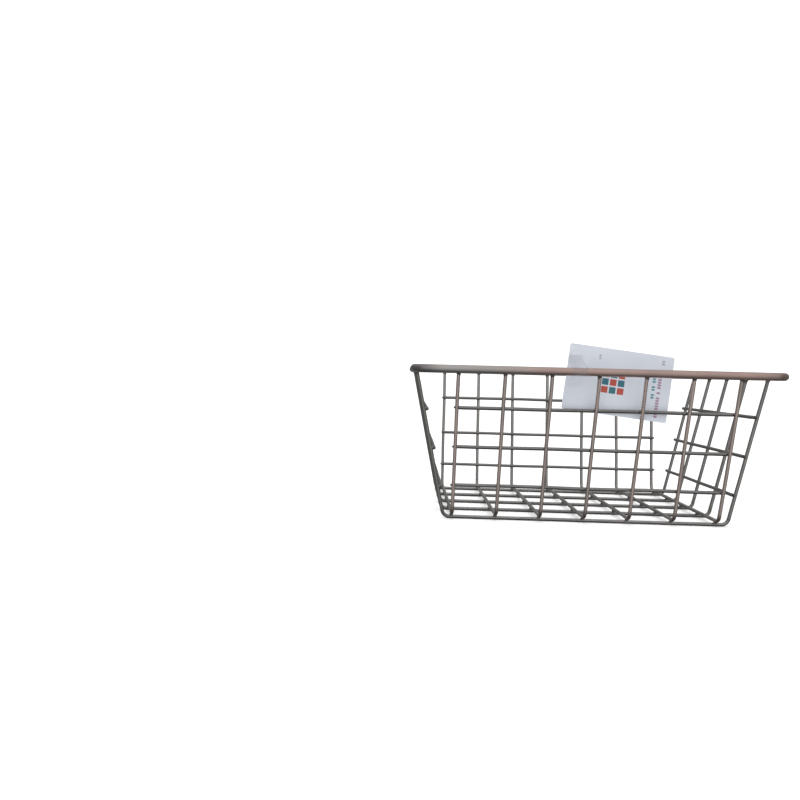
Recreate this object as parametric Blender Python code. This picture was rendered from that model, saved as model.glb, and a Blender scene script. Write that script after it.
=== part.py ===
"""Welded wire storage basket with a blank hang tag.

Seven cross wires and five long wires are each bent into a wide U. Together they make the
floor and the four sloping walls. Three straight rails tie each wall together on its inner
side, and a thick rod closes the rim. A loop of clear tape holds the tag to the front of the
rim, and the two of them swing around the rim.

Frame: +X along the basket, -Y towards its front, +Z up. The origin is the middle of the
basket's underside. Lengths below are in millimetres, and the meshes are in metres.
"""
import math

import bmesh
import bpy
from mathutils import Matrix, Vector

MM = 0.001

# Wire stock
WIRE_DIAMETER = 3.2
RIM_DIAMETER = 6.7
WELD_GAP = 0.3          # clearance left where two wires are welded

# Wire grid
CROSS_WIRE_COUNT = 7
CROSS_WIRE_SPACING = 38.0
LONG_WIRE_COUNT = 5
LONG_WIRE_SPACING = 39.3

# Basket body, measured between wire centre lines
FLOOR_LENGTH = 246.6
FLOOR_DEPTH = 168.8
WALL_RISE = 128.1       # from the long wires' floor runs up to the rim
WALL_FLARE = 25.7       # how far each wall leans out over that rise
BEND_RADIUS = 6.0
RIM_OUTSET = 1.2        # the rim's centre line lies this far outside the walls' planes
RIM_CORNER_RADIUS = 10.0

# Rails, by wall: height above the long wires' floor runs
FRONT_RAIL_HEIGHTS = {"low": 29.3, "middle": 63.0, "top": 96.5}
BACK_RAIL_HEIGHTS = {"low": 25.7, "middle": 60.1, "top": 98.0}
END_RAIL_HEIGHTS = {"low": 26.4, "middle": 60.0, "top": 93.7}
RAIL_OVERHANG = 2.1     # from the centre of a wall's last upright to the rail's cut end

# Hang tag
TAG_WIDTH = 87.0
TAG_HEIGHT = 55.0
TAG_THICKNESS = 0.6
TAG_CORNER_RADIUS = 1.5
TAG_CENTRE_X = 19.2
TAG_CENTRE_HEIGHT = 119.9    # above the long wires' floor runs
TAG_TILT = math.radians(6.8)  # right-hand end down, seen from the front
TAG_LEAN = math.radians(7.0)  # top edge back, away from the front wall

# Tape: both ends are stuck to the tag's front, and the rest is a loop around the rim
STRAP_CENTRE_X = -16.6
STRAP_WIDTH = 12.0
STRAP_THICKNESS = 0.4
STRAP_RIM_CLEARANCE = 0.3
STRAP_UPPER_END = 22.5       # up the tag's slope from the tag's centre
STRAP_UPPER_BEND = 18.0
STRAP_LOWER_BEND = 1.0
STRAP_LOWER_END = -4.0
STRAP_BEND_RADIUS = 1.2

# Facets
WIRE_SIDES = 12
RIM_SIDES = 16
BEND_SEGMENTS = 5
RIM_CORNER_SEGMENTS = 6
STRAP_WRAP_SEGMENTS = 12
STRAP_BEND_SEGMENTS = 4

COPPER_RIM = {"colour": (0.30, 0.165, 0.135), "metallic": 0.9, "roughness": 0.34}
COPPER_WIRE = {"colour": (0.17, 0.115, 0.10), "metallic": 0.9, "roughness": 0.38}
TAG_BOARD = {"colour": (0.66, 0.70, 0.76), "metallic": 0.0, "roughness": 0.55}
STRAP_PLASTIC = {"colour": (0.78, 0.80, 0.82), "metallic": 0.0, "roughness": 0.25}

# Derived sizes
WIRE_RADIUS = WIRE_DIAMETER / 2
RIM_RADIUS = RIM_DIAMETER / 2
LAYER_STEP = WIRE_DIAMETER + WELD_GAP    # between the centre lines of two crossing wires
# The wires are many-sided, with a flat underneath, so that flat lies at height zero.
BASE_HEIGHT = WIRE_RADIUS * math.cos(math.pi / WIRE_SIDES)
LEAN = math.atan2(WALL_FLARE, WALL_RISE)
RIM_LENGTH = FLOOR_LENGTH + 2 * (WALL_FLARE + RIM_OUTSET)
RIM_DEPTH = FLOOR_DEPTH + 2 * (WALL_FLARE + RIM_OUTSET)
RIM_HEIGHT = BASE_HEIGHT + WALL_RISE


def remove_everything():
    """Empty the scene of objects."""
    for obj in list(bpy.data.objects):
        bpy.data.objects.remove(obj, do_unlink=True)


def finish_material(name, finish):
    """Plain Principled material for one piece."""
    material = bpy.data.materials.new(name + "_finish")
    material.use_nodes = True
    shader = material.node_tree.nodes["Principled BSDF"]
    shader.inputs["Base Color"].default_value = (*finish["colour"], 1.0)
    shader.inputs["Metallic"].default_value = finish["metallic"]
    shader.inputs["Roughness"].default_value = finish["roughness"]
    return material


def add_piece(name, shape, location, finish, sharp_angle=40.0):
    """Turn a bmesh in millimetres into a named object at a place in millimetres."""
    bmesh.ops.scale(shape, vec=(MM, MM, MM), verts=shape.verts)
    mesh = bpy.data.meshes.new(name)
    shape.to_mesh(mesh)
    shape.free()
    mesh.shade_smooth()
    mesh.set_sharp_from_angle(angle=math.radians(sharp_angle))
    mesh.materials.append(finish_material(name, finish))
    piece = bpy.data.objects.new(name, mesh)
    piece.location = Vector(location) * MM
    bpy.context.scene.collection.objects.link(piece)
    return piece


def join_loops(shape, loops, closed):
    """Skin point loops of equal count, and cap the two end loops unless the skin is closed."""
    rings = [[shape.verts.new(point) for point in loop] for loop in loops]
    pairs = list(zip(rings, rings[1:]))
    if closed:
        pairs.append((rings[-1], rings[0]))
    else:
        shape.faces.new(rings[0])
        shape.faces.new(rings[-1])
    for ring, next_ring in pairs:
        for index in range(len(ring)):
            other = (index + 1) % len(ring)
            shape.faces.new((ring[index], ring[other], next_ring[other], next_ring[index]))
    bmesh.ops.recalc_face_normals(shape, faces=shape.faces)


def swept_rod(path, plane_normal, radius, sides, closed=False):
    """Round rod along a path that lies in one plane, with a mitred section at each point.

    The section is a polygon with flats facing along and across the plane's normal.
    """
    shape = bmesh.new()
    steps = [(after - point).normalized() for point, after in zip(path, path[1:])]
    if closed:
        steps.append((path[0] - path[-1]).normalized())
        headings = list(zip(steps[-1:] + steps, steps))
    else:
        headings = list(zip(steps[:1] + steps, steps + steps[-1:]))
    loops = []
    for point, (incoming, outgoing) in zip(path, headings):
        forward = (incoming + outgoing).normalized()
        across = forward.cross(plane_normal)
        mitre = 1 / forward.dot(incoming)
        loop = []
        for side in range(sides):
            angle = 2 * math.pi * (side + 0.5) / sides
            offset = plane_normal * math.sin(angle) + across * (mitre * math.cos(angle))
            loop.append(point + offset * radius)
        loops.append(loop)
    join_loops(shape, loops, closed)
    return shape


def wall_reach(half_floor, height):
    """Distance from the basket's middle to a wall's centre line, at a height."""
    return half_floor + math.tan(LEAN) * height


def bent_wire_profile(half_floor, floor_height):
    """Half of a U-shaped wire as (outward, up) pairs, from its floor run to its end at the rim.

    Heights are above the long wires' floor runs.
    """
    corner_out = wall_reach(half_floor, floor_height)
    turn = math.pi / 2 - LEAN
    centre_out = corner_out - BEND_RADIUS * math.tan(turn / 2)
    centre_up = floor_height + BEND_RADIUS
    half = []
    for step in range(BEND_SEGMENTS + 1):
        angle = turn * step / BEND_SEGMENTS
        out = centre_out + BEND_RADIUS * math.sin(angle)
        up = centre_up - BEND_RADIUS * math.cos(angle)
        half.append((out, up))
    end_gap = RIM_RADIUS + WELD_GAP - RIM_OUTSET * math.sin(LEAN)
    end_out = wall_reach(half_floor, WALL_RISE) - end_gap * math.sin(LEAN)
    half.append((end_out, WALL_RISE - end_gap * math.cos(LEAN)))
    return half


def bent_wire(half_floor, floor_height, outward, plane_normal):
    """U-shaped wire in the plane of the outward direction and Z."""
    half = bent_wire_profile(half_floor, floor_height)
    path = [outward * -out + Vector((0, 0, BASE_HEIGHT + up)) for out, up in reversed(half)]
    path += [outward * out + Vector((0, 0, BASE_HEIGHT + up)) for out, up in half]
    return swept_rod(path, plane_normal, WIRE_RADIUS, WIRE_SIDES)


def row_positions(count, spacing):
    """Evenly spaced places centred on zero."""
    return [(index - (count - 1) / 2) * spacing for index in range(count)]


def add_cross_wires():
    """Wires that run from front to back, on top of the long ones."""
    for number, x in enumerate(row_positions(CROSS_WIRE_COUNT, CROSS_WIRE_SPACING), start=1):
        shape = bent_wire(FLOOR_DEPTH / 2, LAYER_STEP, Vector((0, 1, 0)), Vector((1, 0, 0)))
        add_piece(f"cross_wire_{number}", shape, (x, 0, 0), COPPER_WIRE)


def add_long_wires():
    """Wires that run from left to right, and that the basket stands on."""
    for number, y in enumerate(row_positions(LONG_WIRE_COUNT, LONG_WIRE_SPACING), start=1):
        shape = bent_wire(FLOOR_LENGTH / 2, 0, Vector((1, 0, 0)), Vector((0, -1, 0)))
        add_piece(f"long_wire_{number}", shape, (0, y, 0), COPPER_WIRE)


def rail_reach(half_floor, height):
    """Distance from the basket's middle to a rail on the inner side of a wall."""
    return wall_reach(half_floor, height) - LAYER_STEP / math.cos(LEAN)


def add_rail(name, length, along, location):
    """Straight wire cut square at both ends."""
    path = [along * (-length / 2), along * (length / 2)]
    shape = swept_rod(path, Vector((0, 0, 1)), WIRE_RADIUS, WIRE_SIDES)
    add_piece(name, shape, location, COPPER_WIRE)


def add_rails():
    """Three rails for each wall."""
    side_length = (CROSS_WIRE_COUNT - 1) * CROSS_WIRE_SPACING + 2 * RAIL_OVERHANG
    end_length = (LONG_WIRE_COUNT - 1) * LONG_WIRE_SPACING + 2 * RAIL_OVERHANG
    for wall, facing, heights in (("front", -1, FRONT_RAIL_HEIGHTS), ("back", 1, BACK_RAIL_HEIGHTS)):
        for level, height in heights.items():
            y = facing * rail_reach(FLOOR_DEPTH / 2, height)
            place = (0, y, BASE_HEIGHT + height)
            add_rail(f"{wall}_rail_{level}", side_length, Vector((1, 0, 0)), place)
    for wall, facing in (("left_end", -1), ("right_end", 1)):
        for level, height in END_RAIL_HEIGHTS.items():
            x = facing * rail_reach(FLOOR_LENGTH / 2, height)
            place = (x, 0, BASE_HEIGHT + height)
            add_rail(f"{wall}_rail_{level}", end_length, Vector((0, 1, 0)), place)


def rounded_rectangle(width, height, radius, segments):
    """Outline points of a rectangle with round corners, counter-clockwise from its lower right."""
    points = []
    corners = ((1, -1, -90), (1, 1, 0), (-1, 1, 90), (-1, -1, 180))
    for side_x, side_y, start in corners:
        centre_x = side_x * (width / 2 - radius)
        centre_y = side_y * (height / 2 - radius)
        for step in range(segments + 1):
            angle = math.radians(start + 90 * step / segments)
            x = centre_x + radius * math.cos(angle)
            y = centre_y + radius * math.sin(angle)
            points.append((x, y))
    return points


def add_rim():
    """Thick closed rod that every upright is welded to."""
    outline = rounded_rectangle(RIM_LENGTH, RIM_DEPTH, RIM_CORNER_RADIUS, RIM_CORNER_SEGMENTS)
    path = [Vector((x, y, 0)) for x, y in outline]
    shape = swept_rod(path, Vector((0, 0, 1)), RIM_RADIUS, RIM_SIDES, closed=True)
    add_piece("rim", shape, (0, 0, RIM_HEIGHT), COPPER_RIM)


def tag_centre():
    """Centre of the tag, which leans back off the inner side of the top front rail."""
    rail_height = FRONT_RAIL_HEIGHTS["top"]
    standoff = WIRE_RADIUS + WELD_GAP + TAG_THICKNESS / 2
    touch_y = standoff * math.cos(TAG_LEAN) - rail_reach(FLOOR_DEPTH / 2, rail_height)
    touch_height = rail_height - standoff * math.sin(TAG_LEAN)
    y = touch_y + (TAG_CENTRE_HEIGHT - touch_height) * math.tan(TAG_LEAN)
    return Vector((TAG_CENTRE_X, y, BASE_HEIGHT + TAG_CENTRE_HEIGHT))


def tag_point(across, up, behind=0):
    """Point on the tag, given from its centre along its own edges and back from its middle."""
    rising = Vector((0, math.sin(TAG_LEAN), math.cos(TAG_LEAN)))
    rightward = Vector((1, 0, 0)) * math.cos(TAG_TILT) - rising * math.sin(TAG_TILT)
    upward = Vector((1, 0, 0)) * math.sin(TAG_TILT) + rising * math.cos(TAG_TILT)
    backward = Vector((0, math.cos(TAG_LEAN), -math.sin(TAG_LEAN)))
    return tag_centre() + rightward * across + upward * up + backward * behind


def add_pivot():
    """Empty on the centre line of the rim's front bar that carries the swinging pieces."""
    pivot = bpy.data.objects.new("tag_pivot", None)
    pivot.location = Vector((STRAP_CENTRE_X, -RIM_DEPTH / 2, RIM_HEIGHT)) * MM
    bpy.context.scene.collection.objects.link(pivot)
    return pivot


def carry(piece, pivot):
    """Parent a piece modelled in world millimetres to the pivot, with its origin there."""
    piece.data.transform(Matrix.Translation(-pivot.location))
    piece.parent = pivot


def add_tag_card(pivot):
    """Flat card with rounded corners."""
    shape = bmesh.new()
    outline = rounded_rectangle(TAG_WIDTH, TAG_HEIGHT, TAG_CORNER_RADIUS, 3)
    loops = []
    for behind in (-TAG_THICKNESS / 2, TAG_THICKNESS / 2):
        loops.append([tag_point(across, up, behind) for across, up in outline])
    join_loops(shape, loops, closed=False)
    card = add_piece("tag_card", shape, (0, 0, 0), TAG_BOARD, 20.0)
    carry(card, pivot)


def strap_on_tag(rise):
    """Point of the strap's middle line against the tag's front, as (y, z), up the tag's slope."""
    standoff = TAG_THICKNESS / 2 + WELD_GAP + STRAP_THICKNESS / 2
    slope = Vector((math.sin(TAG_LEAN), math.cos(TAG_LEAN)))
    forward = Vector((-math.cos(TAG_LEAN), math.sin(TAG_LEAN)))
    return tag_centre().yz + slope * rise + forward * standoff


def touching_angle(point, centre, radius, side):
    """Angle on a circle where the line from a point just touches it, on one side or the other."""
    arm = point - centre
    return math.atan2(arm.y, arm.x) + side * math.acos(radius / arm.length)


def rounded_bend(before, corner, after):
    """Points of a small arc that replaces a corner."""
    back = (before - corner).normalized()
    ahead = (after - corner).normalized()
    half_turn = back.angle(ahead) / 2
    centre = corner + (back + ahead).normalized() * (STRAP_BEND_RADIUS / math.sin(half_turn))
    start = corner + back * (STRAP_BEND_RADIUS / math.tan(half_turn)) - centre
    end = corner + ahead * (STRAP_BEND_RADIUS / math.tan(half_turn)) - centre
    arc = []
    for step in range(STRAP_BEND_SEGMENTS + 1):
        arm = start.lerp(end, step / STRAP_BEND_SEGMENTS).normalized()
        arc.append(centre + arm * STRAP_BEND_RADIUS)
    return arc


def strap_path():
    """Strap's middle line as (y, z): down the tag, over and round the rim, and back to the tag."""
    rim_centre = Vector((-RIM_DEPTH / 2, RIM_HEIGHT))
    wrap_radius = RIM_RADIUS + STRAP_RIM_CLEARANCE + STRAP_THICKNESS / 2
    upper_end = strap_on_tag(STRAP_UPPER_END)
    upper_bend = strap_on_tag(STRAP_UPPER_BEND)
    lower_bend = strap_on_tag(STRAP_LOWER_BEND)
    lower_end = strap_on_tag(STRAP_LOWER_END)
    first = touching_angle(upper_bend, rim_centre, wrap_radius, 1)
    last = touching_angle(lower_bend, rim_centre, wrap_radius, -1) + 2 * math.pi
    wrap = []
    for step in range(STRAP_WRAP_SEGMENTS + 1):
        angle = first + (last - first) * step / STRAP_WRAP_SEGMENTS
        wrap.append(rim_centre + Vector((math.cos(angle), math.sin(angle))) * wrap_radius)
    path = [upper_end] + rounded_bend(upper_end, upper_bend, wrap[0])
    path += wrap + rounded_bend(wrap[-1], lower_bend, lower_end)
    return path + [lower_end]


def add_tag_strap(pivot):
    """Flat band of clear tape that holds the tag to the rim."""
    shape = bmesh.new()
    path = strap_path()
    steps = [(after - point).normalized() for point, after in zip(path, path[1:])]
    loops = []
    for point, incoming, outgoing in zip(path, steps[:1] + steps, steps + steps[-1:]):
        forward = (incoming + outgoing).normalized()
        outward = Vector((-forward.y, forward.x)) / forward.dot(incoming)
        loop = []
        for side, layer in ((-1, -1), (1, -1), (1, 1), (-1, 1)):
            y, z = point + outward * (layer * STRAP_THICKNESS / 2)
            loop.append((STRAP_CENTRE_X + side * STRAP_WIDTH / 2, y, z))
        loops.append(loop)
    join_loops(shape, loops, closed=False)
    strap = add_piece("tag_strap", shape, (0, 0, 0), STRAP_PLASTIC)
    carry(strap, pivot)


remove_everything()
add_rim()
add_cross_wires()
add_long_wires()
add_rails()
tag_pivot = add_pivot()
add_tag_card(tag_pivot)
add_tag_strap(tag_pivot)
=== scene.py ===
"""Looks of a welded wire storage basket with a hang tag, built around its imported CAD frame.

Every wire is swept again as a round rod of the CAD wire's size, with small hand-made
irregularities, and the welds between them are added. Lengths are in metres, apart from the
places of the card's print, which are in millimetres.
"""

import math

import bmesh
import bpy
from mathutils import Matrix, Vector, noise


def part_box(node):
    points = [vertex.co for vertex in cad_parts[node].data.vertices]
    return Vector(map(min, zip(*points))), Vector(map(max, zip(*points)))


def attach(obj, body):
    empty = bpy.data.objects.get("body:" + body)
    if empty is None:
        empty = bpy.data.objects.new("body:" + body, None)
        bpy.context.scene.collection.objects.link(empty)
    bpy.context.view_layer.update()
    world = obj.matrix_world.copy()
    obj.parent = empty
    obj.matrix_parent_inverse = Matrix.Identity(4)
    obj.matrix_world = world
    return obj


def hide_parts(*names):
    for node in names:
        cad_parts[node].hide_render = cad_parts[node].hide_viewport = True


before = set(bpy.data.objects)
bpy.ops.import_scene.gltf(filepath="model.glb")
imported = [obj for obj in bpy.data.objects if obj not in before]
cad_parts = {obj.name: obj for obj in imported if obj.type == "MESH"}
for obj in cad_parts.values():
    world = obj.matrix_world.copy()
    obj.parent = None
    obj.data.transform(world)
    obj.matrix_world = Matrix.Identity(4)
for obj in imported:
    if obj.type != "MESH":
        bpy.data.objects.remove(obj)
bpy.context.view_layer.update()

MM = 0.001
UP = Vector((0, 0, 1))
RIGHT = Vector((1, 0, 0))
BACK = Vector((0, 1, 0))

# ---------------------------------------------------------------- sizes read from the frame


def extent(node):
    """Size of a CAD node's box."""
    low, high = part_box(node)
    return high - low


def middle(node):
    """Centre of a CAD node's box."""
    low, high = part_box(node)
    return (low + high) / 2


CROSS_WIRES = [f"cross_wire_{number}" for number in range(1, 8)]
LONG_WIRES = [f"long_wire_{number}" for number in range(1, 6)]
LEVELS = ("low", "middle", "top")

WIRE_RADIUS = extent("front_rail_top").z / 2
RIM_RADIUS = extent("rim").z / 2
RIM_Z = middle("rim").z
RIM_HALF_LENGTH = extent("rim").x / 2 - RIM_RADIUS
RIM_HALF_DEPTH = extent("rim").y / 2 - RIM_RADIUS
CROSS_FLOOR_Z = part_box("cross_wire_1")[0].z + WIRE_RADIUS
LONG_FLOOR_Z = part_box("long_wire_1")[0].z + WIRE_RADIUS
rail_rise = middle("right_end_rail_top") - middle("right_end_rail_low")
WALL_SLOPE = rail_rise.x / rail_rise.z
LEAN = math.atan(WALL_SLOPE)

BEND_RADIUS = 6.0 * MM
RIM_CORNER_RADIUS = 10.0 * MM
RIM_OUTSET = 1.2 * MM       # the rim's centre line lies this far outside the walls' planes
WALL_HALF_LENGTH = RIM_HALF_LENGTH - RIM_OUTSET
WALL_HALF_DEPTH = RIM_HALF_DEPTH - RIM_OUTSET

# ---------------------------------------------------------------- camera

SENSOR_WIDTH = 36.0         # in millimetres, like the focal length
FOCAL_LENGTH = 32.4
LENS_SHIFT = (0.02076, 0.05527)
CAMERA_PLACE = (-0.15636, -0.70068, 0.12501)
CAMERA_TURN = 1.704         # degrees to the left of straight ahead
CAMERA_DIP = 5.672          # degrees below the horizontal
CAMERA_ROLL = 1.457         # degrees anticlockwise, seen from behind the camera


def add_camera():
    """Camera a little left of the basket's left end and just under the rim's height."""
    data = bpy.data.cameras.new("camera")
    data.sensor_width = SENSOR_WIDTH
    data.lens = FOCAL_LENGTH
    data.shift_x, data.shift_y = LENS_SHIFT
    camera = bpy.data.objects.new("camera", data)
    camera.location = CAMERA_PLACE
    turn = Matrix.Rotation(math.radians(CAMERA_TURN), 4, "Z")
    tilt = Matrix.Rotation(math.radians(90 - CAMERA_DIP), 4, "X")
    roll = Matrix.Rotation(math.radians(CAMERA_ROLL), 4, "Z")
    camera.rotation_euler = (turn @ tilt @ roll).to_euler()
    bpy.context.scene.collection.objects.link(camera)
    bpy.context.scene.camera = camera


add_camera()

# ---------------------------------------------------------------- swept rods

BEND_STEPS = 10
STATION_STEP = 5.0 * MM     # between the rings of a straight run
WIRE_SIDES = 18
RIM_SIDES = 28
SHARP_EDGE = math.radians(38)   # faces that meet at a larger angle are shaded apart
END_BELOW_RIM_LINE = 0.4 * RIM_RADIUS   # where the uprights end, inside the rim
HAND_DRIFT = 0.22 * MM      # how far a hand-fed wire wanders from its nominal line
DRIFT_LENGTH = 0.055        # distance over which that wander changes
DRIFT_GAIN = 2.0            # brings the noise to about -1 to 1
SEED_SPACING = 3.71         # in the noise, between one seed and the next
BEND_UNEVENNESS = 0.05      # share by which a bend's radius varies
BEND_READING = 0.4          # distance at which the drift is read off for a bend's radius
LONG_WIRE_SHIFT = 0.9 * MM  # the long wires and the end rails were welded a little to the right
LEFT_FOOT_SHIFT = 1.4 * MM  # and the left wall's foot stands this much further in


def drift(seed, travelled):
    """Slow wander of a wire, between about -1 and 1."""
    return DRIFT_GAIN * noise.noise(Vector((travelled / DRIFT_LENGTH, seed * SEED_SPACING, 0.5)))


def end_shift(outward, height):
    """How far a wall's pieces at a height sit from their nominal place. The wall faces outward."""
    if not outward.x:
        return Vector()
    depth = (RIM_Z - height) / (RIM_Z - LONG_FLOOR_Z)
    return RIGHT * (LONG_WIRE_SHIFT + (LEFT_FOOT_SHIFT * depth if outward.x < 0 else 0))


def straight_run(start, end):
    """Evenly spaced stations from start to end, without the end."""
    count = max(1, math.ceil((end - start).length / STATION_STEP))
    return [start.lerp(end, index / count) for index in range(count)]


def bent_half(wall_out, floor_z, bend_radius):
    """Half of a U-shaped wire's centre line as (outward, up) vectors, from the middle of the floor."""
    turn = math.pi / 2 - LEAN
    foot_out = wall_out - WALL_SLOPE * (RIM_Z - floor_z)
    centre = Vector((foot_out - bend_radius * math.tan(turn / 2), floor_z + bend_radius))
    floor_end = Vector((centre.x, floor_z))
    end = Vector((wall_out, RIM_Z)) - Vector((math.sin(LEAN), math.cos(LEAN))) * END_BELOW_RIM_LINE
    half = straight_run(Vector((0, floor_z)), floor_end)
    for step in range(BEND_STEPS):
        angle = turn * step / BEND_STEPS
        half.append(centre + Vector((math.sin(angle), -math.cos(angle))) * bend_radius)
    bend_end = centre + Vector((math.sin(turn), -math.cos(turn))) * bend_radius
    return half + straight_run(bend_end, end) + [end]


def bent_path(outward, side, place, wall_out, floor_z, seed):
    """Whole centre line of a U-shaped wire that lies across the basket at a place along side."""
    path = []
    for sign in (-1, 1):
        bend_radius = BEND_RADIUS * (1 + BEND_UNEVENNESS * drift(seed, BEND_READING * sign))
        half = bent_half(wall_out, floor_z, bend_radius)
        points = [outward * (sign * out) + UP * up for out, up in half]
        path = points[:0:-1] if sign < 0 else path + points
    travelled = 0.0
    wandering = []
    for index, point in enumerate(path):
        if index:
            travelled += (point - path[index - 1]).length
        shift = end_shift(outward if point.dot(outward) > 0 else -outward, point.z)
        wandering.append(point + shift + side * (place + HAND_DRIFT * drift(seed, travelled)))
    return wandering


def rod_frames(path, side, closed):
    """For each point: direction square to the path in its plane, mitre stretch, and heading."""
    steps = [(after - point).normalized() for point, after in zip(path, path[1:])]
    if closed:
        closing = (path[0] - path[-1]).normalized()
        headings = list(zip([closing] + steps, steps + [closing]))
    else:
        headings = list(zip(steps[:1] + steps, steps + steps[-1:]))
    frames = []
    for incoming, outgoing in headings:
        forward = (incoming + outgoing).normalized()
        frames.append((forward.cross(side).normalized(), 1 / forward.dot(incoming), forward))
    return frames


def bevelled(stations, first_heading, last_heading, bevel):
    """Stations of an open rod, with a small bevel at both ends."""
    point, across, radius, travelled = stations[0]
    first = (point, across, radius - bevel, travelled)
    second = (point + first_heading * bevel, across, radius, travelled + bevel)
    point, across, radius, travelled = stations[-1]
    last_but_one = (point - last_heading * bevel, across, radius, travelled - bevel)
    last = (point, across, radius - bevel, travelled)
    return [first, second] + stations[1:-1] + [last_but_one, last]


def rod_shape(path, side, radius, sides, closed=False, bevel=0.0, swell=None):
    """Round rod along a path. side is square to the path's plane.

    The drawn attribute holds each point's place on the rod: round it, and along it.
    """
    shape = bmesh.new()
    drawn = shape.verts.layers.float_vector.new("drawn")
    frames = rod_frames(path, side, closed)
    stations = []
    travelled = 0.0
    for index, point in enumerate(path):
        if index:
            travelled += (point - path[index - 1]).length
        across, mitre, _ = frames[index]
        grown = radius * (swell(travelled) if swell else 1.0)
        stations.append((point, across * mitre, grown, travelled))
    if bevel:
        stations = bevelled(stations, frames[0][2], frames[-1][2], bevel)
    rings = []
    for point, across, grown, travelled in stations:
        ring = []
        for number in range(sides):
            angle = 2 * math.pi * number / sides
            offset = side * math.sin(angle) + across * math.cos(angle)
            vert = shape.verts.new(point + offset * grown)
            vert[drawn] = (radius * math.cos(angle), radius * math.sin(angle), travelled)
            ring.append(vert)
        rings.append(ring)
    join_rings(shape, rings, closed)
    return shape


def join_rings(shape, rings, closed=False):
    """Skin rings of equal count, and cap the two end rings unless the skin is closed."""
    pairs = list(zip(rings, rings[1:]))
    if closed:
        pairs.append((rings[-1], rings[0]))
    else:
        shape.faces.new(rings[0])
        shape.faces.new(rings[-1])
    for ring, after in pairs:
        count = len(ring)
        for number in range(count):
            other = (number + 1) % count
            shape.faces.new((ring[number], ring[other], after[other], after[number]))


def add_piece(name, shape, material, body, replaced=()):
    """Make a bmesh in metres into a visible piece that rides on a body."""
    bmesh.ops.recalc_face_normals(shape, faces=shape.faces)
    mesh = bpy.data.meshes.new(name)
    shape.to_mesh(mesh)
    shape.free()
    mesh.shade_smooth()
    mesh.set_sharp_from_angle(angle=SHARP_EDGE)
    mesh.materials.append(material)
    piece = bpy.data.objects.new(name, mesh)
    bpy.context.scene.collection.objects.link(piece)
    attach(piece, body)
    if replaced:
        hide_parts(*replaced)


# ---------------------------------------------------------------- materials


def new_material(name):
    """New material, its node tree and its shader."""
    material = bpy.data.materials.new(name)
    material.use_nodes = True
    tree = material.node_tree
    return material, tree, tree.nodes["Principled BSDF"]


def make_node(tree, kind, inputs=None, **settings):
    """Add a node. Input values may be numbers, colours or another node's output."""
    node = tree.nodes.new(kind)
    for key, value in settings.items():
        setattr(node, key, value)
    for key, value in (inputs or {}).items():
        if isinstance(value, bpy.types.NodeSocket):
            tree.links.new(value, node.inputs[key])
        else:
            node.inputs[key].default_value = value
    return node


def calc(tree, operation, first, second=0.0, clamp=False):
    """Result of a Math node."""
    node = make_node(tree, "ShaderNodeMath", {0: first, 1: second}, operation=operation)
    node.use_clamp = clamp
    return node.outputs[0]


def blend_colours(tree, factor, first, second, mode="MIX"):
    """Result of a colour Mix node."""
    node = make_node(tree, "ShaderNodeMix", {0: factor}, data_type="RGBA", blend_type=mode)
    for index, value in ((6, first), (7, second)):
        if isinstance(value, bpy.types.NodeSocket):
            tree.links.new(value, node.inputs[index])
        else:
            node.inputs[index].default_value = (*value, 1.0)
    return node.outputs[2]


def rough_noise(tree, vector, scale, detail=3.0, roughness=0.55):
    """Noise between 0 and 1 over a vector."""
    inputs = {"Vector": vector, "Scale": scale, "Detail": detail, "Roughness": roughness}
    return make_node(tree, "ShaderNodeTexNoise", inputs).outputs["Fac"]


def spread(tree, value, low, high, to_low=0.0, to_high=1.0):
    """Smoothly stretch a range of a value to another range."""
    inputs = {"Value": value, "From Min": low, "From Max": high, "To Min": to_low, "To Max": to_high}
    node = make_node(tree, "ShaderNodeMapRange", inputs, interpolation_type="SMOOTHSTEP")
    return node.outputs["Result"]


def add_bump(tree, shader, height, distance):
    """Slight relief on a shader, from a height between 0 and 1."""
    inputs = {"Height": height, "Strength": BUMP_STRENGTH, "Distance": distance}
    bump = make_node(tree, "ShaderNodeBump", inputs)
    tree.links.new(bump.outputs["Normal"], shader.inputs["Normal"])


# Scales of the finish's noise: the larger, the finer
DIE_LINES = 2600            # lines along the wire, left by the die it was drawn through
DIE_LINE_STRETCH = 0.02     # their scale along the wire, as a share of that across it
PATCHES = 38                # between fresh and rubbed plating
CLOUDS = 9                  # slow changes in how grey it has gone
SPECKLE = 1100
ORANGE_PEEL = 420           # unevenness of the lacquer

GRAIN_SHADES = (0.95, 1.03)     # darkest and lightest shade that the speckle gives
LINE_SHADES = (0.96, 1.03)      # and that the die's lines give
RUBBED_ROUGHNESS = 0.10         # added where the plating is rubbed
SPECKLE_ROUGHNESS = 0.06        # and on specks
BUMP_STRENGTH = 0.15
BUMP_HEIGHT = 0.02 * MM
DIE_LINE_HEIGHT = 0.5           # in the bump, against the lacquer's unevenness
LACQUER = 0.7
LACQUER_ROUGHNESS = 0.22

UNDERSIDE_SHADE_FADE = 6 * MM         # height over which the painted shade on the undersides fades out
EVERYWHERE = 1.0            # a height above any part of the basket
# No painted shade, neither on the undersides nor at the ends
UNSHADED = (0.0, 0.0)
END_STARTS = 126 * MM       # the ends' painted shade starts and is complete this far from the middle
END_COMPLETE = 145 * MM


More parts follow.
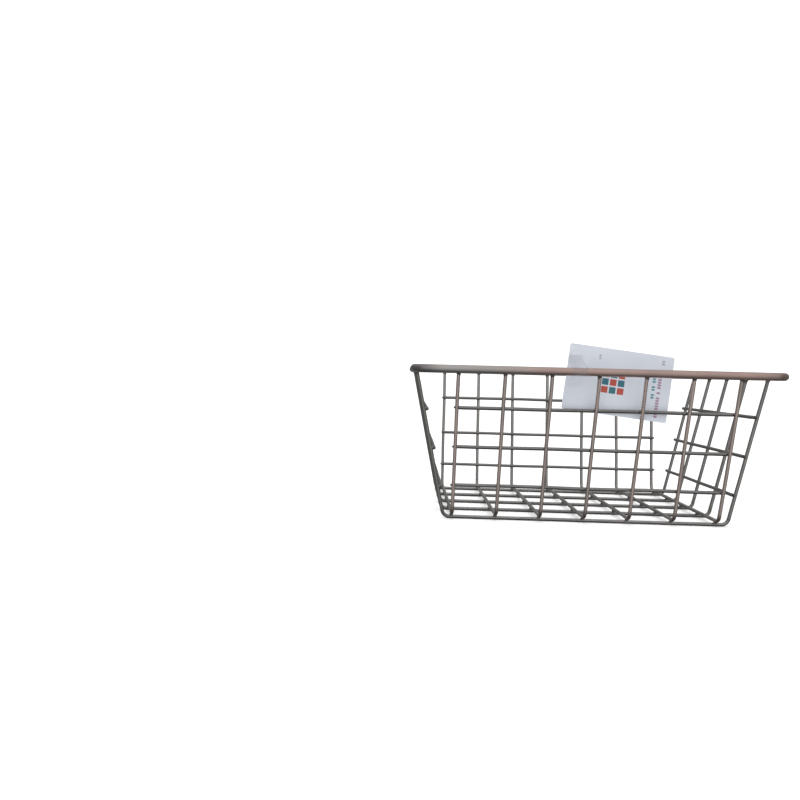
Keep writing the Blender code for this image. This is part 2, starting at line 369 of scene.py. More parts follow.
def copper_finish(name, plating, greyed, painted_underside_shade, seed, roughness=0.20, painted_end_shade=UNSHADED):
    """Antique copper plating under clear lacquer, over drawn steel wire.

    plating holds three colours: fresh, rubbed and gone grey.
    greyed holds an axis and two places on it: fresh up to the first, and grey from the second on.
    The pair after greyed is painted shade: how much darker the undersides are painted, and the height
    that they are so below.
    The last pair is painted shade too: how much darker the basket's left and right ends are painted.
    """
    fresh, rubbed, grey_plating = plating
    material, tree, shader = new_material(name)
    texture_space = make_node(tree, "ShaderNodeTexCoord").outputs
    place = texture_space["Object"]
    position = make_node(tree, "ShaderNodeSeparateXYZ", {"Vector": place}).outputs
    facing = make_node(tree, "ShaderNodeSeparateXYZ", {"Vector": texture_space["Normal"]}).outputs
    moved = make_node(tree, "ShaderNodeMapping", {"Vector": place, "Location": (seed, 0.3 * seed, 0)})
    moved = moved.outputs["Vector"]
    drawn = make_node(tree, "ShaderNodeAttribute", attribute_name="drawn").outputs["Vector"]
    stretched = make_node(
        tree, "ShaderNodeMapping", {"Vector": drawn, "Scale": (1, 1, DIE_LINE_STRETCH)})
    die_lines = rough_noise(tree, stretched.outputs["Vector"], DIE_LINES, detail=2.0)
    patches = rough_noise(tree, moved, PATCHES, detail=5.0, roughness=0.6)
    clouds = rough_noise(tree, moved, CLOUDS, detail=3.0, roughness=0.5)
    speckle = rough_noise(tree, moved, SPECKLE, detail=2.0)

    axis, fresh_at, grey_at = greyed
    limits = {"Value": position[axis], "From Min": fresh_at, "From Max": grey_at}
    share = make_node(tree, "ShaderNodeMapRange", limits).outputs["Result"]
    cloudy = spread(tree, clouds, 0.3, 0.7, -0.3, 0.3)
    grey_share = calc(tree, "ADD", share, cloudy, clamp=True)
    colour = blend_colours(tree, spread(tree, patches, 0.36, 0.66), rubbed, fresh)
    colour = blend_colours(tree, grey_share, colour, grey_plating)

    # Painted shade: faces that point down are painted darker below a given height
    underside_shade_amount, underside_shade_below = painted_underside_shade
    underside = spread(tree, facing["Z"], 0.5, -0.4)
    low_down = spread(tree, position["Z"], underside_shade_below + UNDERSIDE_SHADE_FADE, underside_shade_below)
    painted_shade = calc(tree, "MULTIPLY", calc(tree, "MULTIPLY", underside, low_down), underside_shade_amount)
    # Painted shade: the basket's left and right ends are painted darker
    left_end = spread(tree, position["X"], -END_STARTS, -END_COMPLETE, 0.0, painted_end_shade[0])
    right_end = spread(tree, position["X"], END_STARTS, END_COMPLETE, 0.0, painted_end_shade[1])
    painted_shade = calc(tree, "ADD", painted_shade, calc(tree, "ADD", left_end, right_end), clamp=True)
    grain = spread(tree, speckle, 0.30, 0.72, *GRAIN_SHADES)
    lines = spread(tree, die_lines, 0.25, 0.75, *LINE_SHADES)
    texture = calc(tree, "MULTIPLY", grain, lines)
    shade = calc(tree, "MULTIPLY", texture, calc(tree, "SUBTRACT", 1.0, painted_shade))
    grey = make_node(tree, "ShaderNodeCombineColor", {0: shade, 1: shade, 2: shade}).outputs[0]
    colour = blend_colours(tree, 1.0, colour, grey, "MULTIPLY")
    tree.links.new(colour, shader.inputs["Base Color"])

    dullness = calc(tree, "ADD", spread(tree, patches, 0.3, 0.7, RUBBED_ROUGHNESS, 0.0), roughness)
    dullness = calc(tree, "ADD", dullness, spread(tree, speckle, 0.4, 0.8, 0.0, SPECKLE_ROUGHNESS))
    tree.links.new(dullness, shader.inputs["Roughness"])
    peel = rough_noise(tree, moved, ORANGE_PEEL, detail=2.0)
    height = calc(tree, "ADD", calc(tree, "MULTIPLY", die_lines, DIE_LINE_HEIGHT), peel)
    add_bump(tree, shader, height, BUMP_HEIGHT)
    shader.inputs["Metallic"].default_value = 1.0
    shader.inputs["Coat Weight"].default_value = LACQUER
    shader.inputs["Coat Roughness"].default_value = LACQUER_ROUGHNESS
    return material


# Plating colours: fresh, rubbed and gone grey
# One finish in lit and shaded copies: the uprights' lighter plating is painted light, and the long
# wires' and rails' darker plating is painted shade; their hues are their own
RIM_PLATING = ((0.475, 0.335, 0.295), (0.41, 0.29, 0.26), (0.39, 0.375, 0.365))
UPRIGHT_PLATING = ((0.64, 0.515, 0.47), (0.52, 0.43, 0.39), (0.33, 0.325, 0.31))
LONG_WIRE_PLATING = ((0.32, 0.305, 0.295), (0.27, 0.26, 0.25), (0.21, 0.21, 0.195))
RAIL_PLATING = ((0.25, 0.24, 0.235), (0.21, 0.205, 0.20), (0.19, 0.19, 0.18))
WELD_PLATING = ((0.30, 0.255, 0.235), (0.22, 0.195, 0.18), (0.19, 0.19, 0.18))
GREY_LEFT_END = ("X", -0.10, -0.13)

# Each finish's underside pair is painted shade on its undersides, and the rim's end pair is painted
# shade on its ends
RIM_FINISH = copper_finish(
    "rim_copper", RIM_PLATING, greyed=("X", -0.03, -0.11), painted_underside_shade=UNSHADED, seed=1.0,
    roughness=0.24, painted_end_shade=(0.52, 0.28))
UPRIGHT_FINISH = copper_finish(
    "upright_copper", UPRIGHT_PLATING, greyed=("Y", -0.085, -0.06), painted_underside_shade=(0.66, 0.008), seed=3.0)
LONG_WIRE_FINISH = copper_finish(
    "long_wire_copper", LONG_WIRE_PLATING, greyed=GREY_LEFT_END, painted_underside_shade=(0.65, 0.006), seed=5.0)
RAIL_FINISH = copper_finish(
    "rail_copper", RAIL_PLATING, greyed=GREY_LEFT_END, painted_underside_shade=(0.42, EVERYWHERE), seed=9.0)
WELD_FINISH = copper_finish(
    "weld_copper", WELD_PLATING, greyed=("Y", -0.10, 0.0), painted_underside_shade=(0.4, EVERYWHERE), seed=7.0,
    roughness=0.32)

# ---------------------------------------------------------------- wires

# Seeds of the wander; each group of wires counts up from its own
RIM_SEED = 5
CROSS_WIRE_SEED = 11
LONG_WIRE_SEED = 31
RAIL_SEED = 51
TAPE_SEED = 71


def add_cross_wires():
    """Seven U-shaped wires from front to back."""
    for number, node in enumerate(CROSS_WIRES):
        seed = CROSS_WIRE_SEED + number
        path = bent_path(BACK, RIGHT, middle(node).x, WALL_HALF_DEPTH, CROSS_FLOOR_Z, seed)
        shape = rod_shape(path, RIGHT, WIRE_RADIUS, WIRE_SIDES)
        add_piece("visible_" + node, shape, UPRIGHT_FINISH, "basket", (node,))


def add_long_wires():
    """Five U-shaped wires from left to right."""
    for number, node in enumerate(LONG_WIRES):
        seed = LONG_WIRE_SEED + number
        path = bent_path(RIGHT, BACK, middle(node).y, WALL_HALF_LENGTH, LONG_FLOOR_Z, seed)
        shape = rod_shape(path, BACK, WIRE_RADIUS, WIRE_SIDES)
        add_piece("visible_" + node, shape, LONG_WIRE_FINISH, "basket", (node,))


RAIL_TRIM = 1.3 * MM        # the rails' ends were cut back, nearly flush with the last uprights
RAIL_SINK = 0.7 * MM        # welding pressed the rails this far into the uprights
RAIL_BEVEL = 0.3 * MM


def wall_inward(outward):
    """Direction square to a wall, towards the inside. The wall faces outward."""
    return UP * math.sin(LEAN) - outward * math.cos(LEAN)


def add_rails():
    """Straight rails, three on each wall, with slightly worn ends."""
    seed = RAIL_SEED
    walls = (("front", -BACK), ("back", BACK), ("left_end", -RIGHT), ("right_end", RIGHT))
    for wall, outward in walls:
        along = BACK if outward.x else RIGHT
        for level in LEVELS:
            node = f"{wall}_rail_{level}"
            half = along * (extent(node).dot(along) / 2 - RAIL_TRIM)
            centre = middle(node) + end_shift(outward, middle(node).z) - wall_inward(outward) * RAIL_SINK
            path = straight_run(centre - half, centre + half) + [centre + half]
            for index in range(1, len(path) - 1):
                path[index] = path[index] + UP * (HAND_DRIFT * drift(seed, index * STATION_STEP))
            shape = rod_shape(path, UP, WIRE_RADIUS, WIRE_SIDES, bevel=RAIL_BEVEL)
            add_piece("visible_" + node, shape, RAIL_FINISH, "basket", (node,))
            seed += 1


RIM_CORNER_STEPS = 14
RIM_UNEVENNESS = 0.012      # share by which the rim's radius varies
RIM_WELD_AT = 62 * MM       # along the rim from the middle of its back bar
RIM_WELD_WIDTH = 1.4 * MM
RIM_WELD_HOLLOW = 0.03      # share of the radius that grinding took off the weld


def rim_path():
    """Centre line of the rim, from the middle of its back bar and right round."""
    half_x = RIM_HALF_LENGTH - RIM_CORNER_RADIUS
    half_y = RIM_HALF_DEPTH - RIM_CORNER_RADIUS
    start = Vector((0, RIM_HALF_DEPTH, RIM_Z))
    reached = start
    path = []
    for side_x, side_y, first_angle in ((-1, 1, 90), (-1, -1, 180), (1, -1, 270), (1, 1, 0)):
        arc = []
        for step in range(RIM_CORNER_STEPS + 1):
            angle = math.radians(first_angle + 90 * step / RIM_CORNER_STEPS)
            arm = Vector((math.cos(angle), math.sin(angle), 0)) * RIM_CORNER_RADIUS
            arc.append(Vector((side_x * half_x, side_y * half_y, RIM_Z)) + arm)
        path += straight_run(reached, arc[0]) + arc[:-1]
        reached = arc[-1]
    return path + straight_run(reached, start)


def rim_swell(travelled):
    """Radius of the rim at a distance along it, as a share of its full radius."""
    weld = math.exp(-((travelled - RIM_WELD_AT) / RIM_WELD_WIDTH) ** 2)
    unevenness = RIM_UNEVENNESS * (1 + drift(RIM_SEED, travelled)) / 2
    return 1.0 - unevenness - RIM_WELD_HOLLOW * weld


def add_rim():
    """Thick rod, closed by a butt weld that was ground a little below flush."""
    shape = rod_shape(rim_path(), UP, RIM_RADIUS, RIM_SIDES, closed=True, swell=rim_swell)
    add_piece("visible_rim", shape, RIM_FINISH, "basket", ("rim",))


# ---------------------------------------------------------------- welds

WELD_LUMPINESS = 0.10       # share by which a weld's outline varies
BRIDGE_LUMPS = 900          # scales of that noise
COLLAR_LUMPS = 700
SEED_BY_DEPTH = 500         # gives each level of rails its own noise

BRIDGE_STEPS = 6
BRIDGE_SIDES = 12
BRIDGE_WAIST = 0.86 * WIRE_RADIUS   # half its width across a wire
BRIDGE_REACH = 1.75 * WIRE_RADIUS   # half its length along a wire

COLLAR_STEPS = 8
COLLAR_SIDES = 16
COLLAR_START = 0.55 * RIM_RADIUS    # distances down the upright from the rim's centre line
COLLAR_END = RIM_RADIUS + 2.4 * MM
COLLAR_TIP = 0.97 * WIRE_RADIUS     # the collar's lower end lies just inside the upright
COLLAR_FLARE_ALONG = 2.0 * MM       # how far it spreads at the rim, along the rim and across it
COLLAR_FLARE_ACROSS = 1.1 * MM
COLLAR_CURVE = 2.4          # the larger, the sooner the flare dies away


def add_bridge(shape, start, end, start_axis, end_axis, seed):
    """Fused metal between two crossing wires, spread along each of them."""
    rings = []
    for step in range(BRIDGE_STEPS + 1):
        share = step / BRIDGE_STEPS
        first = BRIDGE_WAIST + (BRIDGE_REACH - BRIDGE_WAIST) * (1 - share) ** 2
        second = BRIDGE_WAIST + (BRIDGE_REACH - BRIDGE_WAIST) * share ** 2
        centre = start.lerp(end, share)
        ring = []
        for number in range(BRIDGE_SIDES):
            angle = 2 * math.pi * number / BRIDGE_SIDES
            place = centre * BRIDGE_LUMPS + Vector((angle, seed, 0))
            lump = 1 + WELD_LUMPINESS * noise.noise(place)
            offset = start_axis * (first * math.cos(angle)) + end_axis * (second * math.sin(angle))
            ring.append(shape.verts.new(centre + offset * lump))
        rings.append(ring)
    join_rings(shape, rings)


def wall_point(depth, outward, wall_out):
    """Point in the plane of a wall's uprights, at a depth under the rim's centre line."""
    return outward * (wall_out - WALL_SLOPE * depth) + UP * (RIM_Z - depth)


def add_floor_welds():
    """One weld where each cross wire lies on each long wire."""
    shape = bmesh.new()
    for column, cross in enumerate(CROSS_WIRES):
        for row, long in enumerate(LONG_WIRES):
            place = RIGHT * middle(cross).x + BACK * middle(long).y
            low = place + UP * LONG_FLOOR_Z
            high = place + UP * CROSS_FLOOR_Z
            add_bridge(shape, low, high, RIGHT, BACK, column + 10 * row)
    add_piece("floor_welds", shape, WELD_FINISH, "basket")


def add_wall_welds(wall, uprights, outward, side, wall_out):
    """Welds between a wall's uprights and its rails."""
    shape = bmesh.new()
    up_wall = outward * math.sin(LEAN) + UP * math.cos(LEAN)
    inward = wall_inward(outward)
    for level in LEVELS:
        rail = middle(f"{wall}_rail_{level}")
        depth = RIM_Z - rail.z
        on_rail = outward * abs(rail.dot(outward)) + UP * rail.z - inward * RAIL_SINK
        gap = (on_rail - wall_point(depth, outward, wall_out)).dot(inward)
        for number, upright in enumerate(uprights):
            end = on_rail + side * middle(upright).dot(side) + end_shift(outward, rail.z)
            seed = depth * SEED_BY_DEPTH + number
            add_bridge(shape, end - inward * gap, end, up_wall, side, seed)
    add_piece(wall + "_welds", shape, WELD_FINISH, "basket")


def add_rim_welds():
    """Collar of weld metal where each upright runs into the rim."""
    shape = bmesh.new()
    walls = (
        (CROSS_WIRES, BACK, RIGHT, WALL_HALF_DEPTH),
        (LONG_WIRES, RIGHT, BACK, WALL_HALF_LENGTH),
    )
    for uprights, across, side, wall_out in walls:
        for upright in uprights:
            for sign in (-1, 1):
                outward = across * sign
                top = outward * wall_out + UP * RIM_Z + side * middle(upright).dot(side)
                top += end_shift(outward, RIM_Z)
                down = -(outward * math.sin(LEAN) + UP * math.cos(LEAN))
                add_collar(shape, top, down, side, down.cross(side))
    add_piece("rim_welds", shape, WELD_FINISH, "basket")


def add_collar(shape, top, down, along, across):
    """Flared sleeve of metal from inside the rim down to the upright's surface."""
    rings = []
    for step in range(COLLAR_STEPS + 1):
        share = step / COLLAR_STEPS
        flare = (1 - share) ** COLLAR_CURVE
        centre = top + down * (COLLAR_START + (COLLAR_END - COLLAR_START) * share)
        ring = []
        for number in range(COLLAR_SIDES):
            angle = 2 * math.pi * number / COLLAR_SIDES
            place = centre * COLLAR_LUMPS + Vector((angle, 0, 0))
            lump = 1 + WELD_LUMPINESS * noise.noise(place) * flare
            wide = (COLLAR_TIP + COLLAR_FLARE_ALONG * flare) * lump
            narrow = (COLLAR_TIP + COLLAR_FLARE_ACROSS * flare) * lump
            offset = along * (wide * math.cos(angle)) + across * (narrow * math.sin(angle))
            ring.append(shape.verts.new(centre + offset))
        rings.append(ring)
    join_rings(shape, rings)


add_rim()
add_cross_wires()
add_long_wires()
add_rails()
add_floor_welds()
add_wall_welds("front", CROSS_WIRES, -BACK, RIGHT, WALL_HALF_DEPTH)
add_wall_welds("back", CROSS_WIRES, BACK, RIGHT, WALL_HALF_DEPTH)
add_wall_welds("left_end", LONG_WIRES, -RIGHT, BACK, WALL_HALF_LENGTH)
add_wall_welds("right_end", LONG_WIRES, RIGHT, BACK, WALL_HALF_LENGTH)
add_rim_welds()

# ---------------------------------------------------------------- hang tag

TAG_SIZE = Vector((87.0, 55.0)) * MM
TAG_THICKNESS = 0.6 * MM
TAG_TILT = math.radians(6.8)    # right-hand end down
TAG_LEAN = math.radians(7.0)    # top edge back
TAG_CORNER_RADIUS = 1.5 * MM
TAG_CORNER_STEPS = 6
TAG_CUT_PITCH = 4.0 * MM        # between the cuts that let the card curl
TAG_BOW = 0.9 * MM              # how far the card's free end curls away from the rail
TAG_TWIST = 0.15 * MM           # how much further it does so at the free end's top than at its foot

# Tape: both ends are stuck to the tag's front, and the rest is a loop around the rim
TAPE_THICKNESS = 0.2 * MM
TAPE_STANDOFF = 0.5 * MM        # middle of the tape's thickness off the card's front
TAPE_RIM_CLEARANCE = 0.4 * MM
TAPE_UPPER_END = 22.5 * MM      # up the tag's slope from the tag's centre
TAPE_UPPER_BEND = 18.0 * MM
TAPE_LOWER_BEND = 1.0 * MM
TAPE_LOWER_END = -4.0 * MM
TAPE_BEND_RADIUS = 1.2 * MM
TAPE_BEND_STEPS = 6
TAPE_WRAP_STEPS = 20
TAPE_EDGE_WAVE = 0.15 * MM


def tag_point(across, up, behind):
    """Place of a point on the card, given from the card's centre along its own edges."""
    rising = BACK * math.sin(TAG_LEAN) + UP * math.cos(TAG_LEAN)
    rightward = RIGHT * math.cos(TAG_TILT) - rising * math.sin(TAG_TILT)
    upward = RIGHT * math.sin(TAG_TILT) + rising * math.cos(TAG_TILT)
    backward = BACK * math.cos(TAG_LEAN) - UP * math.sin(TAG_LEAN)
    return middle("tag_card") + rightward * across + upward * up + backward * behind


def rounded_rectangle(size, radius, segments):
    """Outline of a rectangle with round corners."""
    points = []
    for side_x, side_y, start in ((1, -1, -90), (1, 1, 0), (-1, 1, 90), (-1, -1, 180)):
        for step in range(segments + 1):
            angle = math.radians(start + 90 * step / segments)
            corner = Vector((side_x * (size.x / 2 - radius), side_y * (size.y / 2 - radius)))
            points.append(corner + Vector((math.cos(angle), math.sin(angle))) * radius)
    return points


def card_shape():
    """Card with round corners, slightly curled.

    The print attribute holds each point's place on the card, and 1 on its front and 0 on its back.
    """
    shape = bmesh.new()
    printed = shape.verts.layers.float_vector.new("print")
    outline = rounded_rectangle(TAG_SIZE, TAG_CORNER_RADIUS, TAG_CORNER_STEPS)
    shape.faces.new([shape.verts.new((point.x, 0, point.y)) for point in outline])
    for normal, size in ((RIGHT, TAG_SIZE.x), (UP, TAG_SIZE.y)):
        cuts = math.floor(size / TAG_CUT_PITCH)
        for cut in range(cuts):
            place = normal * ((cut + 0.5 - cuts / 2) * TAG_CUT_PITCH)
            everything = shape.verts[:] + shape.edges[:] + shape.faces[:]
            bmesh.ops.bisect_plane(shape, geom=everything, plane_co=place, plane_no=normal)
    front = shape.faces[:]
    border = [edge.verts[:] for edge in shape.edges if edge.is_boundary]
    partners = {vert: shape.verts.new(vert.co) for vert in shape.verts[:]}
    for face in front:
        shape.faces.new([partners[vert] for vert in face.verts])
    for start, end in border:
        shape.faces.new((start, end, partners[end], partners[start]))
    behind = set(partners.values())
    for vert in shape.verts:
        across, up = vert.co.x, vert.co.z
        side = 1 if vert in behind else -1
        vert[printed] = (across / MM, up / MM, 0.0 if vert in behind else 1.0)
        free = across / TAG_SIZE.x + 0.5
        curl = TAG_BOW * free ** 2 + TAG_TWIST * free * up / TAG_SIZE.y
        vert.co = tag_point(across, up, curl + side * TAG_THICKNESS / 2)
    return shape


def tape_on_tag(rise):
    """Point of the tape's middle line against the card, as (y, z), up the card's slope."""
    slope = Vector((math.sin(TAG_LEAN), math.cos(TAG_LEAN)))
    forward = Vector((-math.cos(TAG_LEAN), math.sin(TAG_LEAN)))
    return middle("tag_card").yz + slope * rise + forward * (TAG_THICKNESS / 2 + TAPE_STANDOFF)


def touching_angle(point, centre, radius, side):
    """Angle on a circle where the line from a point just touches it, on one side or the other."""
    arm = point - centre
    return math.atan2(arm.y, arm.x) + side * math.acos(radius / arm.length)


def rounded_bend(before, corner, after):
    """Points of a small arc that replaces a corner."""
    back = (before - corner).normalized()
    ahead = (after - corner).normalized()
    half_turn = back.angle(ahead) / 2
    centre = corner + (back + ahead).normalized() * (TAPE_BEND_RADIUS / math.sin(half_turn))
    start = corner + back * (TAPE_BEND_RADIUS / math.tan(half_turn)) - centre
    end = corner + ahead * (TAPE_BEND_RADIUS / math.tan(half_turn)) - centre
    shares = [step / TAPE_BEND_STEPS for step in range(TAPE_BEND_STEPS + 1)]
    arms = [start.lerp(end, share).normalized() for share in shares]
    return [centre + arm * TAPE_BEND_RADIUS for arm in arms]


def tape_path():
    """Tape's middle line as (y, z): down the card, over and round the rim, and back to the card."""
    rim_centre = Vector((-RIM_HALF_DEPTH, RIM_Z))
    wrap_radius = RIM_RADIUS + TAPE_RIM_CLEARANCE + TAPE_THICKNESS / 2
    upper_end, upper_bend = tape_on_tag(TAPE_UPPER_END), tape_on_tag(TAPE_UPPER_BEND)
    lower_bend, lower_end = tape_on_tag(TAPE_LOWER_BEND), tape_on_tag(TAPE_LOWER_END)
    first = touching_angle(upper_bend, rim_centre, wrap_radius, 1)
    last = touching_angle(lower_bend, rim_centre, wrap_radius, -1) + 2 * math.pi
    wrap = []
    for step in range(TAPE_WRAP_STEPS + 1):
        angle = first + (last - first) * step / TAPE_WRAP_STEPS
        wrap.append(rim_centre + Vector((math.cos(angle), math.sin(angle))) * wrap_radius)
    path = [upper_end] + rounded_bend(upper_end, upper_bend, wrap[0])
    path += wrap + rounded_bend(wrap[-1], lower_bend, lower_end)
    return path + [lower_end]


def tape_shape():
    """Flat band of tape, a little wavy along both edges."""
    shape = bmesh.new()
    centre_x = middle("tag_strap").x
    half_width = extent("tag_strap").x / 2
    path = tape_path()
    steps = [(after - point).normalized() for point, after in zip(path, path[1:])]
    rings = []
    travelled = 0.0
    for index, (incoming, outgoing) in enumerate(zip(steps[:1] + steps, steps + steps[-1:])):
        if index:
            travelled += (path[index] - path[index - 1]).length
        forward = (incoming + outgoing).normalized()
        outward = Vector((-forward.y, forward.x)) / forward.dot(incoming)
        ring = []
        for side, layer in ((-1, -1), (1, -1), (1, 1), (-1, 1)):
            y, z = path[index] + outward * (layer * TAPE_THICKNESS / 2)
            reach = half_width - TAPE_EDGE_WAVE * (1 + drift(TAPE_SEED + side, travelled))
            ring.append(shape.verts.new((centre_x + side * reach, y, z)))
        rings.append(ring)
    join_rings(shape, rings)
    return shape


CARD_FIBRES = 900           # scales of the card's noise
CARD_CLOUDS = 45
CARD_ROUGHNESS = (0.50, 0.62)
CARD_SPECULAR = 0.25
CARD_BUMP_HEIGHT = 0.03 * MM
PAPER_COLOURS = ((0.49, 0.518, 0.572), (0.51, 0.538, 0.592))
FIBRE_COLOUR = (0.465, 0.495, 0.552)
RED_INK = (0.36, 0.07, 0.05)
PETROL_INK = (0.04, 0.13, 0.165)
TEAL_INK = (0.08, 0.22, 0.26)
MAUVE_INK = (0.28, 0.17, 0.235)
GREY_INK = (0.30, 0.30, 0.34)

BADGE_CENTRE = Vector((-3.5, 0.3))
BADGE_PITCH = 6.6
BADGE_SQUARE = 0.82         # side of a square as a share of the pitch

TYPE_PITCH = 2.2
TYPE_BLOCK = 0.70           # height of a block as a share of the pitch
TYPE_BLANKS = 0.16          # share of the blocks that are left out
# Each column of blocks: its ink, its middle, width, bottom and top, and the seed of its blanks
TYPE_COLUMNS = (
    (TEAL_INK, 29.2, 2.6, -9.0, 9.0, 3),
    (MAUVE_INK, 33.8, 2.8, -24.5, 11.0, 21),
    (GREY_INK, 34.8, 2.4, 19.8, 24.2, 14),
    (GREY_INK, -17.6, 1.8, 17.6, 22.0, 14),
)

TAPE_SCUFFS = 70            # scale of the tape's noise
TAPE_COLOURS = ((0.30, 0.31, 0.35), (0.24, 0.25, 0.29))
TAPE_ROUGHNESS = (0.30, 0.42)
TAPE_OPACITY = (0.06, 0.09)
TAPE_EDGE_OPACITY = 0.30    # added on its narrow edges
TAPE_CLEARER_BELOW = 0.25   # share of its opacity that is left below the rim
TAPE_CLEARING = 5 * MM      # it falls to that over this height, down from the rim's centre line
TAPE_SPECULAR = 0.2


def between(tree, value, low, high):
    """1 where a value lies between two limits."""
    above = calc(tree, "GREATER_THAN", value, low)
    below = calc(tree, "LESS_THAN", value, high)
    return calc(tree, "MULTIPLY", above, below)


def type_column(tree, across, up, place, width, bottom, top, seed):
    """Column of plain blocks that stands for a line of small print."""
    row = calc(tree, "DIVIDE", up, TYPE_PITCH)
    seeded = calc(tree, "ADD", calc(tree, "FLOOR", row), seed)
    chance = make_node(tree, "ShaderNodeTexWhiteNoise", {"W": seeded}, noise_dimensions="1D")
    shown = calc(tree, "GREATER_THAN", chance.outputs["Value"], TYPE_BLANKS)
    block = calc(tree, "LESS_THAN", calc(tree, "FRACT", row), TYPE_BLOCK)
    in_width = between(tree, across, place - width / 2, place + width / 2)
    inside = calc(tree, "MULTIPLY", in_width, between(tree, up, bottom, top))
    return calc(tree, "MULTIPLY", inside, calc(tree, "MULTIPLY", shown, block))


def badge_masks(tree, across, up):
    """Where a three by three grid of squares is printed, and which squares take the second ink."""
    half_grid = 1.5 * BADGE_PITCH
    from_left = calc(tree, "ADD", across, half_grid - BADGE_CENTRE.x)
    from_foot = calc(tree, "ADD", up, half_grid - BADGE_CENTRE.y)
    column = calc(tree, "DIVIDE", from_left, BADGE_PITCH)
    row = calc(tree, "DIVIDE", from_foot, BADGE_PITCH)
    inside = calc(tree, "MULTIPLY", between(tree, column, 0, 3), between(tree, row, 0, 3))
    in_column = calc(tree, "LESS_THAN", calc(tree, "FRACT", column), BADGE_SQUARE)
    in_row = calc(tree, "LESS_THAN", calc(tree, "FRACT", row), BADGE_SQUARE)
    square = calc(tree, "MULTIPLY", in_column, in_row)
    total = calc(tree, "ADD", calc(tree, "FLOOR", column), calc(tree, "FLOOR", row))
    second = calc(tree, "GREATER_THAN", calc(tree, "MODULO", total, 2), 0.5)
    return calc(tree, "MULTIPLY", inside, square), second


def card_material():
    """Coated pale blue-grey card, printed with a plain badge, two columns of blocks and two marks."""
    material, tree, shader = new_material("tag_board")
    attribute = make_node(tree, "ShaderNodeAttribute", attribute_name="print")
    split = make_node(tree, "ShaderNodeSeparateXYZ", {"Vector": attribute.outputs["Vector"]})
    across, up, front = split.outputs
    place = make_node(tree, "ShaderNodeTexCoord").outputs["Object"]
    fibres = rough_noise(tree, place, CARD_FIBRES, detail=5.0, roughness=0.7)
    cloud = rough_noise(tree, place, CARD_CLOUDS, detail=3.0)
    colour = blend_colours(tree, spread(tree, cloud, 0.35, 0.65), *PAPER_COLOURS)
    colour = blend_colours(tree, spread(tree, fibres, 0.45, 0.75, 0.0, 0.35), colour, FIBRE_COLOUR)
    badge, second = badge_masks(tree, across, up)
    badge_ink = blend_colours(tree, second, RED_INK, PETROL_INK)
    colour = blend_colours(tree, calc(tree, "MULTIPLY", badge, front), colour, badge_ink)
    for ink, *column in TYPE_COLUMNS:
        blocks = type_column(tree, across, up, *column)
        colour = blend_colours(tree, calc(tree, "MULTIPLY", blocks, front), colour, ink)
    tree.links.new(colour, shader.inputs["Base Color"])
    tree.links.new(spread(tree, fibres, 0.3, 0.8, *CARD_ROUGHNESS), shader.inputs["Roughness"])
    shader.inputs["Specular IOR Level"].default_value = CARD_SPECULAR
    add_bump(tree, shader, fibres, CARD_BUMP_HEIGHT)
    return material


def tape_material():
    """Clear adhesive tape, a little grey and scuffed, and clearer where it passes below the rim."""
    material, tree, shader = new_material("strap_plastic")
    texture_space = make_node(tree, "ShaderNodeTexCoord").outputs
    place = texture_space["Object"]
    haze = rough_noise(tree, place, TAPE_SCUFFS, detail=3.0)
    facing = make_node(tree, "ShaderNodeSeparateXYZ", {"Vector": texture_space["Normal"]}).outputs
    sideways = calc(tree, "ABSOLUTE", facing["X"])
    edge = spread(tree, sideways, 0.6, 0.9, 0.0, TAPE_EDGE_OPACITY)
    tree.links.new(blend_colours(tree, haze, *TAPE_COLOURS), shader.inputs["Base Color"])
    tree.links.new(spread(tree, haze, 0.3, 0.7, *TAPE_ROUGHNESS), shader.inputs["Roughness"])
    opacity = calc(tree, "ADD", spread(tree, haze, 0.3, 0.7, *TAPE_OPACITY), edge)
    height = make_node(tree, "ShaderNodeSeparateXYZ", {"Vector": place}).outputs["Z"]
    haziness = spread(tree, height, RIM_Z - TAPE_CLEARING, RIM_Z, TAPE_CLEARER_BELOW, 1.0)
    tree.links.new(calc(tree, "MULTIPLY", opacity, haziness), shader.inputs["Alpha"])
    shader.inputs["Specular IOR Level"].default_value = TAPE_SPECULAR
    return material


def add_tag():
    """Card and tape, which swing together round the rim."""
    add_piece("visible_tag_card", card_shape(), card_material(), "tag", ("tag_card",))
    add_piece("visible_tag_strap", tape_shape(), tape_material(), "tag", ("tag_strap",))


add_tag()

# ---------------------------------------------------------------- studio

FLOOR_RADIUS = 14.0
FLOOR_SIDES = 96
FLOOR_SHADE = 0.93
FLOOR_ROUGHNESS = 0.9
FLOOR_SPECULAR = 0.1

LIGHT_PLACE = Vector((0.1, -0.2, 1.7))
LIGHT_TARGET = Vector((0, 0, 0.06))
LIGHT_SIZE = (1.6, 1.2)
LIGHT_POWER = 6

PAPER_WHITE = 1.30          # brightness of the surroundings to the camera and to matt surfaces
OVERHEAD = 0.92             # brightness of the mirrored room overhead and underfoot
UNDERFOOT = 0.14
UNDERFOOT_SPREAD = 2.34     # the larger, the lower the dark part of the mirrored room stays
BEHIND_DIMMING = 0.72       # share of the light lost in reflections of what is behind the basket
BESIDE_DIMMING = 0.60       # and of what is beside it
BEHIND_FROM, BEHIND_TO = -0.3, 0.3      # it grows between these, in how far back a direction points
BESIDE_FROM, BESIDE_TO = 0.35, 0.85     # and between these, in how far it points sideways


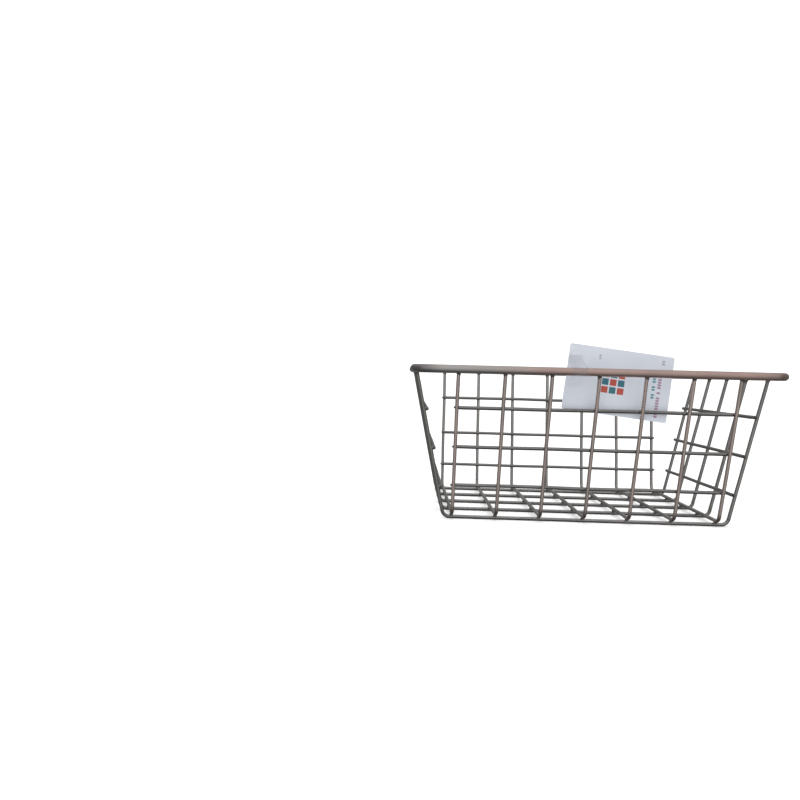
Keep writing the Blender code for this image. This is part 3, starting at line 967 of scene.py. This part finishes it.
def add_floor():
    """Large pale floor."""
    shape = bmesh.new()
    bmesh.ops.create_circle(shape, cap_ends=True, segments=FLOOR_SIDES, radius=FLOOR_RADIUS)
    mesh = bpy.data.meshes.new("floor")
    shape.to_mesh(mesh)
    shape.free()
    material, _, shader = new_material("floor_paper")
    shader.inputs["Base Color"].default_value = (FLOOR_SHADE, FLOOR_SHADE, FLOOR_SHADE, 1)
    shader.inputs["Roughness"].default_value = FLOOR_ROUGHNESS
    shader.inputs["Specular IOR Level"].default_value = FLOOR_SPECULAR
    mesh.materials.append(material)
    floor = bpy.data.objects.new("floor", mesh)
    floor.visible_glossy = False
    bpy.context.scene.collection.objects.link(floor)


def add_overhead_light():
    """Large soft light above the basket."""
    data = bpy.data.lights.new("overhead_light", "AREA")
    data.shape = "RECTANGLE"
    data.size, data.size_y = LIGHT_SIZE
    data.energy = LIGHT_POWER
    light = bpy.data.objects.new("overhead_light", data)
    light.location = LIGHT_PLACE
    light.rotation_euler = (LIGHT_TARGET - LIGHT_PLACE).to_track_quat("-Z", "Y").to_euler()
    light.visible_glossy = False
    bpy.context.scene.collection.objects.link(light)


def add_world():
    """White surroundings for the camera and for matt surfaces, and a dimmer room in reflections.

    The mirrored room is bright overhead and in front, and dim underfoot, behind and at the sides.
    """
    world = bpy.data.worlds.new("studio")
    world.use_nodes = True
    tree = world.node_tree
    tree.nodes.clear()
    direction = make_node(tree, "ShaderNodeTexCoord").outputs["Generated"]
    sideways, depth, height = make_node(tree, "ShaderNodeSeparateXYZ", {"Vector": direction}).outputs
    lowered = calc(tree, "DIVIDE", calc(tree, "SUBTRACT", 1.0, height), 2.0)
    underfoot = calc(tree, "POWER", lowered, UNDERFOOT_SPREAD)
    room = calc(tree, "SUBTRACT", OVERHEAD, calc(tree, "MULTIPLY", underfoot, OVERHEAD - UNDERFOOT))
    level = calc(tree, "SUBTRACT", 1.0, calc(tree, "MULTIPLY", height, height))
    behind = spread(tree, depth, BEHIND_FROM, BEHIND_TO, 0.0, BEHIND_DIMMING)
    behind = calc(tree, "MULTIPLY", behind, level)
    aside = calc(tree, "ABSOLUTE", sideways)
    beside = spread(tree, aside, BESIDE_FROM, BESIDE_TO, 0.0, BESIDE_DIMMING)
    dimming = calc(tree, "MAXIMUM", behind, beside)
    mirrored = calc(tree, "MULTIPLY", room, calc(tree, "SUBTRACT", 1.0, dimming))
    glossy = make_node(tree, "ShaderNodeLightPath").outputs["Is Glossy Ray"]
    choice = {0: glossy, 2: PAPER_WHITE, 3: mirrored}
    strength = make_node(tree, "ShaderNodeMix", choice, data_type="FLOAT")
    surroundings = {"Color": (1, 1, 1, 1), "Strength": strength.outputs[0]}
    background = make_node(tree, "ShaderNodeBackground", surroundings)
    make_node(tree, "ShaderNodeOutputWorld", {"Surface": background.outputs[0]})
    bpy.context.scene.world = world


add_floor()
add_world()
add_overhead_light()
bpy.context.scene.view_settings.view_transform = "Standard"
